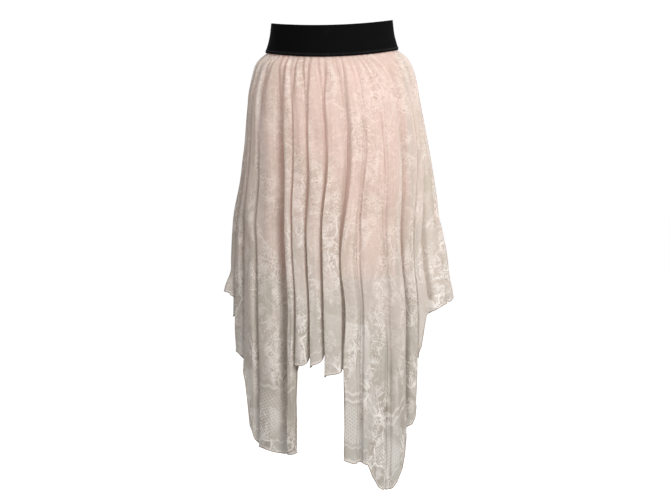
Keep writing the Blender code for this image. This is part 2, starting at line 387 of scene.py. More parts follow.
@dataclass
class SheetOfPoints:
    """A grid of points with the maps that its finish reads.

    Attributes:
        points: columns by rows by three, in metres.
        closed: whether the last column joins the first.
        maps: named pairs of coordinates for each point.
    """

    points: np.ndarray
    closed: bool = False
    maps: dict[str, np.ndarray] = field(default_factory=dict)

    def build(self, name: str, material: bpy.types.Material) -> bpy.types.Object:
        """Makes the mesh object.

        Args:
            name: the object's name.
            material: its finish.

        Returns:
            The object, linked to the scene.
        """
        columns, rows = self.points.shape[:2]
        number = np.arange(columns * rows).reshape(columns, rows)
        here = number if self.closed else number[:-1]
        there = np.roll(number, -1, axis=0) if self.closed else number[1:]
        quads = np.stack([here[:, :-1], here[:, 1:], there[:, 1:], there[:, :-1]], axis=-1)
        quads = quads.reshape(-1, 4)
        piece = new_piece(name, self.points.reshape(-1, 3).tolist(), quads.tolist(), material)
        for label, pairs in self.maps.items():
            layer = piece.data.uv_layers.new(name=label)
            wound = pairs.reshape(-1, 2)[quads.reshape(-1)]
            if self.closed:
                self.open_out(wound, quads, columns, rows)
            layer.data.foreach_set("uv", wound.astype(np.float32).reshape(-1))
        return piece

    def open_out(self, wound: np.ndarray, quads: np.ndarray, columns: int, rows: int) -> None:
        """Moves the last column's far corners on by one turn of the map, in place.

        Args:
            wound: the map's pair at each face corner, changed here.
            quads: the faces' point numbers.
            columns: how many columns the grid has.
            rows: how many rows it has.
        """
        turn = wound[:, 0].max() * columns / (columns - 1)
        corner = quads.reshape(-1) // rows
        face = np.repeat(quads[:, 0] // rows, 4)
        wound[(face == columns - 1) & (corner == 0), 0] += turn


@dataclass
class Tube:
    """A thin round strand along a path, such as a rolled edge or a cord.

    Attributes:
        path: the points that its middle follows, in metres.
        radius: its half thickness.
        sides: how many faces go round it.
    """

    path: np.ndarray
    radius: float
    sides: int = 6

    def build(self, name: str, material: bpy.types.Material) -> bpy.types.Object:
        """Makes the mesh object, with both ends closed by a small cap.

        Args:
            name: the object's name.
            material: its finish.

        Returns:
            The object, linked to the scene.
        """
        ahead = np.gradient(self.path, axis=0)
        ahead /= np.linalg.norm(ahead, axis=1)[:, None]
        side = np.cross(ahead[0], (0.0, 0.0, 1.0))
        sides = []
        for direction in ahead:
            side = side - direction * np.dot(side, direction)
            side = side / np.linalg.norm(side)
            sides.append(side)
        across = np.array(sides)
        upward = np.cross(ahead, across)
        angles = np.arange(self.sides) * TURN / self.sides
        ring = np.cos(angles)[None, :, None] * across[:, None] + (
            np.sin(angles)[None, :, None] * upward[:, None]
        )
        vertices = (self.path[:, None] + self.radius * ring).reshape(-1, 3).tolist()
        piece = new_piece(name, vertices, tube_faces(len(self.path), self.sides), material)
        steps = np.linalg.norm(np.diff(self.path, axis=0), axis=1)
        run = np.concatenate([[0.0], np.cumsum(steps)])
        layer = piece.data.uv_layers.new(name="strand")
        for loop in piece.data.loops:
            row, column = divmod(loop.vertex_index, self.sides)
            layer.data[loop.index].uv = (run[row], column / self.sides)
        return piece


@dataclass
class StitchRow:
    """A row of sewing stitches, each a short strand that dips into the cloth at both ends.

    Attributes:
        ends: pairs of points, the two ends of each stitch.
        outward: the direction away from the cloth at each stitch.
        radius: half the thread's thickness.
        lift: how far the stitch's middle stands above its ends.
        sides: how many faces go round it.
    """

    ends: np.ndarray
    outward: np.ndarray
    radius: float = 0.00035
    lift: float = 0.0004
    sides: int = 5

    def build(self, name: str, material: bpy.types.Material) -> bpy.types.Object:
        """Makes one mesh object of all the stitches.

        Args:
            name: the object's name.
            material: its finish.

        Returns:
            The object, linked to the scene.
        """
        shares = (0.0, 0.3, 0.7, 1.0)
        fullness = (0.45, 1.0, 1.0, 0.45)
        rise = (-0.2, 1.0, 1.0, -0.2)
        angles = np.arange(self.sides) * TURN / self.sides
        vertices: list[list[float]] = []
        faces: list[tuple[int, ...]] = []
        for (start, end), out in zip(self.ends, self.outward):
            along = (end - start) / np.linalg.norm(end - start)
            aside = np.cross(along, out)
            aside /= np.linalg.norm(aside)
            faces += tube_faces(len(shares), self.sides, len(vertices))
            for share, full, up in zip(shares, fullness, rise):
                middle = start + share * (end - start) + up * self.lift * out
                for angle in angles:
                    turn = math.cos(angle) * aside + math.sin(angle) * out
                    vertices.append((middle + full * self.radius * turn).tolist())
        return new_piece(name, vertices, faces, material)


class Tone:
    """A number that changes over a surface. Arithmetic on it adds Math nodes to its material."""

    def __init__(self, bench: "Bench", socket: bpy.types.NodeSocket) -> None:
        """Wraps an output socket of a material on the bench."""
        self.bench = bench
        self.socket = socket

    def __add__(self, other: Number) -> "Tone":
        """This plus another."""
        return self.bench.maths("ADD", self, other)

    __radd__ = __add__

    def __sub__(self, other: Number) -> "Tone":
        """This less another."""
        return self.bench.maths("SUBTRACT", self, other)

    def __rsub__(self, other: Number) -> "Tone":
        """Another less this."""
        return self.bench.maths("SUBTRACT", other, self)

    def __mul__(self, other: Number) -> "Tone":
        """This times another."""
        return self.bench.maths("MULTIPLY", self, other)

    __rmul__ = __mul__

    def __truediv__(self, other: Number) -> "Tone":
        """This over another."""
        return self.bench.maths("DIVIDE", self, other)

    def __pow__(self, other: Number) -> "Tone":
        """This to a power."""
        return self.bench.maths("POWER", self, other)

    def __abs__(self) -> "Tone":
        """This without its sign."""
        return self.bench.maths("ABSOLUTE", self)

    def __or__(self, other: Number) -> "Tone":
        """The larger of the two, which lays one mask over another."""
        return self.bench.maths("MAXIMUM", self, other)

    def __and__(self, other: Number) -> "Tone":
        """The smaller of the two, which keeps what two masks share."""
        return self.bench.maths("MINIMUM", self, other)

    def cosine(self) -> "Tone":
        """Its cosine, in radians."""
        return self.bench.maths("COSINE", self)

    def sine(self) -> "Tone":
        """Its sine, in radians."""
        return self.bench.maths("SINE", self)

    def above(self, low: Number, high: Number) -> "Tone":
        """A smooth mask that is 0 below one value and 1 above a higher one."""
        return self.bench.smooth_range(self, low, high)

    def below(self, low: Number, high: Number) -> "Tone":
        """A smooth mask that is 1 below one value and 0 above a higher one."""
        return 1 - self.above(low, high)


class Bench:
    """One material in the making, with its Principled shader."""

    def __init__(self, name: str, **fixed: object) -> None:
        """Starts a material.

        Args:
            name: the material's name.
            fixed: values for the shader's own sockets, by their names with _ for a space.
        """
        self.material = bpy.data.materials.new(name)
        self.material.use_nodes = True
        self.tree = self.material.node_tree
        self.shader = self.tree.nodes["Principled BSDF"]
        self.dress(**fixed)

    def node(self, kind: str, settings: dict[str, object], sockets: dict) -> bpy.types.Node:
        """Adds a node.

        Args:
            kind: the node's type.
            settings: what is set on the node first, such as a Math node's operation.
            sockets: values, tones or sockets by input name or number.

        Returns:
            The node.
        """
        node = self.tree.nodes.new(kind)
        for key, value in settings.items():
            setattr(node, key, value)
        for key, value in sockets.items():
            self.feed(node.inputs[key], value)
        return node

    def feed(self, target: bpy.types.NodeSocket, value: object) -> None:
        """Gives a socket its value or its link.

        Args:
            target: the input socket.
            value: a number, a colour, a tone or an output socket.
        """
        if isinstance(value, Tone):
            self.tree.links.new(value.socket, target)
        elif isinstance(value, bpy.types.NodeSocket):
            self.tree.links.new(value, target)
        else:
            target.default_value = value

    def maths(self, operation: str, *values: Number) -> Tone:
        """Adds a Math node and returns its result."""
        node = self.node("ShaderNodeMath", {"operation": operation}, dict(enumerate(values)))
        return Tone(self, node.outputs[0])

    def smooth_range(self, value: Number, low: Number, high: Number) -> Tone:
        """A smooth step of a value from 0 at one level to 1 at a higher one."""
        node = self.node(
            "ShaderNodeMapRange",
            {"interpolation_type": "SMOOTHSTEP"},
            {"Value": value, "From Min": low, "From Max": high},
        )
        return Tone(self, node.outputs["Result"])

    def place(self, label: str) -> bpy.types.NodeSocket:
        """The coordinates of one of the mesh's maps."""
        return self.node("ShaderNodeUVMap", {"uv_map": label}, {}).outputs["UV"]

    def parts_of(self, vector: bpy.types.NodeSocket) -> tuple[Tone, Tone, Tone]:
        """The three numbers of a vector or of a colour."""
        node = self.node("ShaderNodeSeparateXYZ", {}, {0: vector})
        return Tone(self, node.outputs[0]), Tone(self, node.outputs[1]), Tone(self, node.outputs[2])

    def joined(self, x: Number, y: Number, z: Number = 0.0) -> bpy.types.NodeSocket:
        """A vector from three numbers."""
        return self.node("ShaderNodeCombineXYZ", {}, {0: x, 1: y, 2: z}).outputs[0]

    def length(self, x: Tone, y: Tone) -> Tone:
        """How far a place lies from the middle of its coordinates."""
        return (x * x + y * y) ** 0.5

    def vectors(self, operation: str, *values: object) -> bpy.types.NodeSocket:
        """Adds a Vector Math node and returns its vector."""
        node = self.node("ShaderNodeVectorMath", {"operation": operation}, dict(enumerate(values)))
        return node.outputs[0]

    def cloud(self, place: object, size: float, detail: float = 2.0, rough: float = 0.5) -> Tone:
        """Soft uneven noise from 0 to 1 whose blots are about this size in metres."""
        node = self.node(
            "ShaderNodeTexNoise",
            {"noise_dimensions": "3D"},
            {"Vector": place, "Scale": 1.0 / size, "Detail": detail, "Roughness": rough},
        )
        return Tone(self, node.outputs[0])

    def blend(self, factor: Number, first: object, second: object) -> bpy.types.NodeSocket:
        """Blends two colours.

        Args:
            factor: how far from the first to the second, from 0 to 1.
            first: a plain colour or a colour socket.
            second: the same.

        Returns:
            The blend's colour socket.
        """
        node = self.node("ShaderNodeMix", {"data_type": "RGBA"}, {0: factor})
        self.feed(node.inputs[6], self.opaque(first))
        self.feed(node.inputs[7], self.opaque(second))
        return node.outputs[2]

    @staticmethod
    def opaque(colour: object) -> object:
        """A plain colour with its fourth number, and a link as it is."""
        return (*colour, 1.0) if isinstance(colour, tuple) else colour

    def dress(self, **sockets: object) -> None:
        """Sets or links the shader's own sockets, by their names with _ for a space."""
        for label, value in sockets.items():
            self.feed(self.shader.inputs[label.replace("_", " ")], self.opaque(value))

    def veil(self, opacity: Number, backlit: float, glow: Colour) -> None:
        """Makes a cloth that light passes, both straight through its openings and in its threads.

        Args:
            opacity: the share of light that the threads stop.
            backlit: the share of that light which leaves them on the far side.
            glow: the colour that it leaves with.
        """
        lit = self.node("ShaderNodeBsdfTranslucent", {}, {"Color": self.opaque(glow)}).outputs[0]
        threads = self.node(
            "ShaderNodeMixShader", {}, {0: backlit, 1: self.shader.outputs[0], 2: lit}
        ).outputs[0]
        clear = self.node("ShaderNodeBsdfTransparent", {}, {}).outputs[0]
        cloth = self.node("ShaderNodeMixShader", {}, {0: opacity, 1: clear, 2: threads}).outputs[0]
        self.tree.links.new(cloth, self.tree.nodes["Material Output"].inputs["Surface"])

    def emboss(self, height: Number, depth: float) -> None:
        """Raises the surface by a height from 0 to 1 times this depth in metres."""
        bump = self.node("ShaderNodeBump", {}, {"Height": height, "Distance": depth})
        self.dress(Normal=bump.outputs[0])


@dataclass(frozen=True)
class FloralLace:
    """A sheer net worked with sprays of blossom and leaves, and with a ribbon border at the hem.

    It reads two maps of the cloth, both in metres: `cut`, the place on the flat cloth, and
    `border`, the distance from the hem and the place along it.

    Attributes:
        name: the material's name.
        shade: the net's colour.
        flush: the net's warmer colour, in soft drifts.
        painted_low_shade: a painted shade, the greyer and darker colour that the net shades into
            towards the hem and the long points.
        bloom: the colour of the worked motifs.
        stitch_and_painted_shade: a dark brown. Round each eyelet and opening it is painted shade, for
            the shaded slip seen through it. In the sprays it is laid as their tight stitches, more so
            towards the hem.
        net: the share of light that the open net stops.
        border_net: how much more of it the closer net above the hem stops.
        thread: the share that the worked motifs stop.
        backlit: the share of the stopped light that the threads let through to the other side.
        corner: how far out on the flat cloth its corners begin, where the border is fullest.
        glow: the colour of the light that the threads let through.
        mesh_pitch: the width of the net's mesh.
        eyelet_pitch: the spacing of the rows of openings in the border's net.
        rib_pitch: the spacing of a leaf's ribs.
        stem_spacing: how far apart the winding stems run.
    """

    name: str = "cream_floral_lace"
    shade: Colour = (0.56, 0.515, 0.45)
    flush: Colour = (0.68, 0.600, 0.545)
    painted_low_shade: Colour = (0.34, 0.315, 0.268)
    bloom: Colour = (0.92, 0.875, 0.825)
    stitch_and_painted_shade: Colour = (0.34, 0.26, 0.21)
    net: float = 0.62
    border_net: float = 0.31
    thread: float = 0.97
    backlit: float = 0.35
    corner: float = 0.88
    glow: Colour = (0.80, 0.74, 0.68)
    mesh_pitch: float = 0.0030
    eyelet_pitch: float = 0.0098
    rib_pitch: float = 0.0072
    stem_spacing: float = 0.048

    def scatter(
        self, bench: Bench, place: object, spacing: float, stray: float
    ) -> tuple[Tone, Tone, Tone, Tone]:
        """Scatters places for motifs over the cloth.

        Args:
            bench: the material in the making.
            place: the coordinates that they are scattered in.
            spacing: how far apart they lie.
            stray: how far they stray from even rows, from 0 to 1.

        Returns:
            The place across and up from the nearest of them, and its two random draws.
        """
        cell = bench.node(
            "ShaderNodeTexVoronoi",
            {"voronoi_dimensions": "2D", "feature": "F1"},
            {"Vector": place, "Scale": 1.0 / spacing, "Randomness": stray},
        )
        draw, size, _ = bench.parts_of(cell.outputs["Color"])
        x, y, _ = bench.parts_of(bench.vectors("SUBTRACT", place, cell.outputs["Position"]))
        return x, y, draw, size

    def blossom(self, bench: Bench, place: object, kind: Motif, petals: int) -> Tone:
        """Scatters blossoms with ribbed petals.

        Args:
            bench: the material in the making.
            place: the coordinates that they are scattered in.
            kind: how far apart they lie and how far the petals reach.
            petals: how many petals each has.

        Returns:
            How close the threads lie, from 0 outside them to 1.
        """
        x, y, draw, size = self.scatter(bench, place, kind.spacing, 0.8)
        distance = bench.length(x, y)
        angle = bench.maths("ARCTAN2", y, x) + draw * TURN
        reach = kind.reach * (0.70 + 0.45 * size)
        lobe = abs((angle * (petals / 2)).cosine()) ** 0.6
        rim = reach * (0.42 + 0.58 * lobe)
        inside = distance.below(rim - 0.0008, rim + 0.0006)
        edge = distance.above(rim - 0.0030, rim - 0.0016)
        ribs = (angle * (petals * 4)).cosine().above(0.2, 0.8)
        ring = abs(distance - 0.34 * reach).below(0.0006, 0.0016)
        heart = distance.below(0.0014, 0.0024)
        return inside * (0.10 + 0.90 * (0.6 * edge | ribs | 0.7 * ring | heart))

    def feather(self, bench: Bench, place: object, kind: Motif) -> Tone:
        """Scatters ribbed leaves that lie every way.

        Args:
            bench: the material in the making.
            place: the coordinates that they are scattered in.
            kind: how far apart they lie and how far they reach.

        Returns:
            How close their threads lie, from 0 outside them to 1.
        """
        x, y, draw, size = self.scatter(bench, place, kind.spacing, 0.95)
        turn = draw * TURN
        along = x * turn.cosine() + y * turn.sine()
        aside = abs(y * turn.cosine() - x * turn.sine() + 9.0 * along * along)
        half = kind.reach * (0.65 + 0.5 * size)
        width = 0.36 * half * (1 - (along / half) ** 2.0)
        leaf = (width - aside).above(-0.0004, 0.0008) & abs(along).below(half - 0.001, half)
        ribs = ((along - 0.8 * aside) * (TURN / self.rib_pitch)).cosine().above(0.2, 0.8)
        spine = aside.below(0.0004, 0.0010)
        return leaf * (0.06 + 0.94 * (ribs | spine))

    def stems(self, bench: Bench, place: object) -> Tone:
        """Draws winding stems that join the sprays.

        Args:
            bench: the material in the making.
            place: the coordinates that they wind over.

        Returns:
            Their mask.
        """
        sway = bench.cloud(place, 0.04, 1.0) - 0.5
        swayed = bench.vectors("ADD", place, bench.joined(0.05 * sway, -0.04 * sway))
        spacing = self.stem_spacing
        cell = bench.node(
            "ShaderNodeTexVoronoi",
            {"voronoi_dimensions": "2D", "feature": "DISTANCE_TO_EDGE"},
            {"Vector": swayed, "Scale": 1.0 / spacing, "Randomness": 1.0},
        )
        return Tone(bench, cell.outputs["Distance"]).below(0.0009 / spacing, 0.0018 / spacing)

    def knots(self, bench: Bench, place: object) -> Tone:
        """Scatters tiny raised knots in loose clusters, which fill the sprays.

        Args:
            bench: the material in the making.
            place: the coordinates that they are scattered in.

        Returns:
            Their mask.
        """
        x, y, draw, _ = self.scatter(bench, place, KNOTS.spacing, 0.9)
        knot = bench.length(x, y).below(KNOTS.reach + 0.0006 * draw, 2.0 * KNOTS.reach)
        return knot * bench.cloud(place, 0.016, 1.0).above(0.45, 0.60)

    def eyelets(self, bench: Bench, place: object) -> Tone:
        """Scatters small round openings in loose clusters.

        Args:
            bench: the material in the making.
            place: the coordinates that they are scattered in.

        Returns:
            Their mask.
        """
        x, y, draw, _ = self.scatter(bench, place, EYELETS.spacing, 0.55)
        size = EYELETS.reach + 0.0006 * draw
        opening = bench.length(x, y).below(size, size + 0.0007)
        return opening * bench.cloud(place, 0.020, 1.0).above(0.60, 0.66)

    def border(self, bench: Bench, place: object) -> tuple[Tone, Tone]:
        """Works the hem's border: a corded edge, an eyelet net and a pair of ribbons above it.

        Args:
            bench: the material in the making.
            place: the place on the flat cloth.

        Returns:
            How close its threads lie, and a mask of the openings in its net.
        """
        rise, run, _ = bench.parts_of(bench.place("border"))
        drift = 0.022 * (bench.cloud(place, 0.16, 1.0) - 0.5)
        level = rise + drift + 0.0016 * (run * (TURN / 0.021)).sine()
        edge = rise.below(0.0030, 0.0046)
        x, y, _ = bench.parts_of(place)
        corner = bench.length(x, y).above(self.corner - 0.04, self.corner)
        ribbons = abs(abs(level - 0.098) - 0.0062).below(0.0018, 0.0030) * (0.08 + 0.38 * corner)
        guard = abs(level - 0.020).below(0.0010, 0.0022)
        pitch = TURN / self.eyelet_pitch
        grid = ((x + y) * pitch).cosine() * (0.55 * (x - y) * pitch).cosine()
        zone = level.above(0.024, 0.028) & level.below(0.082, 0.090)
        patchy = bench.cloud(place, 0.09, 1.0).above(0.42, 0.62) * corner
        holes = grid.above(0.25, 0.80) & zone * patchy
        return 0.5 * edge | ribbons | 0.35 * guard | 0.30 * zone * patchy * (1 - holes), holes

    def needlework(self, bench: Bench, cut: object, low: Tone, sprays: Tone) -> tuple[Tone, Tone]:
        """Works the motifs and the border into the net, faintly at the waist and fully at the hem.

        Args:
            bench: the material in the making.
            cut: the place on the flat cloth.
            low: how near the hem a place is, from 0 to 1.
            sprays: the mask of the sprays, which most motifs lie in.

        Returns:
            How close the motifs' threads lie, and a mask of the openings among them.
        """
        warp = bench.cloud(cut, 0.03, 1.0) - 0.5
        place = bench.vectors("ADD", cut, bench.joined(0.008 * warp, 0.006 * warp))
        elsewhere = bench.vectors("ADD", place, (0.37, 0.21, 0.0))
        fray = bench.cloud(cut, 0.010, 1.0) - 0.5
        frayed = bench.vectors("ADD", elsewhere, bench.joined(0.014 * fray, -0.017 * fray))
        leaves = self.feather(bench, place, LEAVES)
        small = self.blossom(bench, place, SMALL_BLOSSOMS, 5)
        large = self.blossom(bench, frayed, LARGE_BLOSSOMS, 6)
        sprigs = self.feather(bench, elsewhere, SPRIGS)
        border, border_holes = self.border(bench, cut)
        filling = leaves | 0.9 * small | 0.9 * self.stems(bench, place) | 0.7 * self.knots(bench, cut)
        worked = (0.36 + 0.64 * low) * sprays * filling
        worked = worked | (0.14 + 0.36 * low) * large | border
        worked = worked | (0.16 + 0.20 * sprays + 0.40 * low * sprays) * sprigs
        holes = border_holes | self.eyelets(bench, cut) * sprays.above(0.2, 0.8)
        return worked * (1 - holes), holes

    def material(self) -> bpy.types.Material:
        """Makes the finish.

        Returns:
            The material.
        """
        bench = Bench(self.name, Specular_IOR_Level=0.20)
        cut = bench.place("cut")
        x, y, _ = bench.parts_of(cut)
        rise, run, _ = bench.parts_of(bench.place("border"))
        # How near the hem a place is, and how far out towards a long point
        low = rise.below(0.05, 0.42)
        outer = bench.length(x, y).above(0.66, 0.98)
        column = bench.vectors("MULTIPLY", cut, (1.0, 0.36, 1.0))
        sprays = bench.cloud(column, 0.052, 1.5, 0.4).above(0.41, 0.57)
        pierced, holes = self.needlework(bench, cut, low, sprays)
        # The net itself is uneven: its mesh, a mottle and upright streaks
        streaks = bench.cloud(bench.joined(run, 0.05 * rise), 0.006, 2.0) - 0.5
        pitch = TURN / self.mesh_pitch
        mesh = 0.5 + 0.25 * ((x + y) * pitch).cosine() + 0.25 * ((x - y) * pitch).cosine()
        mottle = bench.cloud(cut, 0.0075, 3.0, 0.65) - 0.5
        ground = self.net + self.border_net * low + 0.10 * (mesh - 0.5) + 0.16 * mottle
        ground = ground + 0.08 * sprays + 0.18 * streaks * (1.0 - 0.5 * low)
        opacity = (ground + (self.thread - ground) * pierced) * (1 - 0.18 * holes)
        # Painted shade: the net darkens towards the hem, a little through its drifts and more through
        # the darker grey, and most of all towards the long points.
        drifts = bench.cloud(cut, 0.10, 2.0) + 0.4 * mottle + 0.4 * streaks - 0.05 * low
        net_colour = bench.blend(drifts.above(0.28, 0.62), self.shade, self.flush)
        net_colour = bench.blend(low * (0.20 + 0.74 * outer), net_colour, self.painted_low_shade)
        # The sprays take a little of the dark colour, more so towards the hem.
        net_colour = bench.blend(0.20 * sprays * (0.4 + 0.6 * low), net_colour, self.stitch_and_painted_shade)
        colour = bench.blend(pierced, net_colour, self.bloom)
        # Painted shade: the net's openings and eyelets are darkened towards a dark brown, for the
        # shaded slip seen through them.
        bench.dress(
            Base_Color=bench.blend(0.26 * holes, colour, self.stitch_and_painted_shade),
            Roughness=0.95 - 0.2 * pierced,
        )
        bench.emboss(0.8 * pierced + 0.2 * mesh, 0.0008)
        bench.veil(opacity, self.backlit, self.glow)
        return bench.material


@dataclass(frozen=True)
class RibbedElastic:
    """Woven black elastic with fine ribs along it.

    Attributes:
        name: the material's name.
        colour: the yarn's colour.
        worn: its colour on the ribs and where lint lies.
        rib: the height of a rib.
        pick: the spacing of the yarns that cross the ribs.
    """

    name: str = "black_ribbed_elastic"
    colour: Colour = (0.0012, 0.0012, 0.0014)
    worn: Colour = (0.0036, 0.0036, 0.0040)
    rib: float = 0.0019
    pick: float = 0.0016

    def material(self) -> bpy.types.Material:
        """Makes the finish.

        Returns:
            The material.
        """
        bench = Bench(self.name, Specular_IOR_Level=0.04)
        around, up, _ = bench.parts_of(bench.place("band"))
        ribs = 0.5 + 0.5 * (up * (TURN / self.rib)).cosine()
        picks = 0.5 + 0.5 * (around * (TURN / self.pick)).cosine()
        haze = bench.cloud(bench.place("band"), 0.03, 3.0)
        lint = haze.above(0.52, 0.75)
        bench.dress(
            Base_Color=bench.blend(0.25 * ribs + 0.35 * lint, self.colour, self.worn),
            Roughness=0.78 - 0.16 * ribs + 0.10 * haze,
        )
        bench.emboss(0.7 * ribs + 0.3 * picks * ribs, 0.00035)
        return bench.material


@dataclass(frozen=True)
class BlushLining:
    """A smooth light lining with a slight sheen and a fine plain weave.

    Attributes:
        name: the material's name.
        colour: the cloth's colour.
        slubbed: its paler colour where the yarn is thick.
        glow: the colour of the light that passes through it.
        weave_pitch: the width of two yarns of its weave.
    """

    name: str = "blush_lining_cloth"
    colour: Colour = (0.90, 0.57, 0.50)
    slubbed: Colour = (0.93, 0.64, 0.575)
    glow: Colour = (0.90, 0.62, 0.55)
    weave_pitch: float = 0.0011

    def material(self) -> bpy.types.Material:
        """Makes the finish.

        Returns:
            The material.
        """
        bench = Bench(self.name, Specular_IOR_Level=0.35, Sheen_Weight=0.10)
        place = bench.place("cut")
        x, y, _ = bench.parts_of(place)
        pitch = TURN / self.weave_pitch
        weave = (x * pitch).sine() * (y * pitch).sine()
        slub = bench.cloud(bench.joined(x * 3.0, y), 0.02, 3.0)
        bench.dress(
            Base_Color=bench.blend(slub.above(0.35, 0.75), self.colour, self.slubbed),
            Roughness=0.48 + 0.10 * slub,
        )
        bench.emboss(0.3 * weave + 0.7 * slub, 0.0003)
        bench.veil(0.98, 0.35, self.glow)
        return bench.material


@dataclass(frozen=True)
class Thread:
    """Sewing thread, or the close overlocking of an edge, with its twist.

    Attributes:
        name: the material's name.
        colour: the thread's colour.
        pitch: the distance from one turn of the thread to the next.
    """

    name: str
    colour: Colour
    pitch: float

    def material(self) -> bpy.types.Material:
        """Makes the finish.

        Returns:
            The material.
        """
        bench = Bench(self.name, Specular_IOR_Level=0.3)
        run, turn, _ = bench.parts_of(bench.place("strand"))
        twist = 0.5 + 0.5 * (run * (TURN / self.pitch) + turn * TURN).cosine()
        patch = bench.cloud(bench.joined(run, 0.0), 0.012, 2.0)
        dark = tuple(0.72 * part for part in self.colour)
        bench.dress(
            Base_Color=bench.blend(0.6 * twist + 0.4 * patch, dark, self.colour),
            Roughness=0.85 - 0.15 * twist,
        )
        bench.emboss(twist, 0.0003)
        return bench.material


@dataclass(frozen=True)
class StudioPaper:
    """The plain pale paper of the floor and the wall, lit evenly.

    Attributes:
        name: the material's name.
        colour: the paper's colour.
        glow: how strongly the lit paper shines back.
    """

    name: str = "pale_paper"
    colour: Colour = (0.60, 0.60, 0.60)
    glow: float = 0.72

    def material(self) -> bpy.types.Material:
        """Makes the finish.

        Returns:
            The material.
        """
        bench = Bench(self.name, Specular_IOR_Level=0.0, Base_Color=self.colour)
        grain = bench.cloud(bench.node("ShaderNodeTexCoord", {}, {}).outputs["Object"], 0.004)
        bench.dress(
            Roughness=0.9 + 0.05 * grain,
            Emission_Color=(1.0, 1.0, 1.0),
            Emission_Strength=self.glow,
        )
        return bench.material


@dataclass
class Waist:
    """The line where the elastic's edges run, which the cloth below takes its height from.

    Attributes:
        lower: the height of the lower edge at the sides.
        upper: the height of the upper edge at the sides.
        tilt: how far both rise towards +X, in radians.
        front_dip_upper: how far the upper edge dips in front.
        front_dip_lower: how far the lower edge dips in front.
        back_dip: how far both dip behind.
        level: the height that drops are counted from once the edge's line has faded.
        fade: the drop by which it has.
    """

    lower: float = -0.0262
    upper: float = 0.0315
    tilt: float = math.radians(1.4)
    front_dip_upper: float = 0.0058
    front_dip_lower: float = 0.0080
    back_dip: float = 0.0075
    level: float = -0.0310
    fade: float = 0.1200

    def edge(self, azimuth: np.ndarray, upper: bool) -> np.ndarray:
        """Finds the height of one of the elastic's edges, which dip in front and behind.

        Args:
            azimuth: the angle round from the front.
            upper: whether it is the upper edge.

        Returns:
            The height at each angle.
        """
        facing = np.cos(azimuth)
        front = self.front_dip_upper if upper else self.front_dip_lower
        dip = np.where(facing > 0, front, self.back_dip) * facing * facing
        level = self.upper if upper else self.lower
        return level - dip + math.tan(self.tilt) * BAND[0].half_width * np.sin(azimuth)

    def height(self, azimuth: np.ndarray, drop: np.ndarray) -> np.ndarray:
        """The height of a point this far below the elastic, whose edge shapes what is near it."""
        near = 1.0 - ease(drop / self.fade)
        return self.level - drop + near * (self.edge(azimuth, False) - self.level)


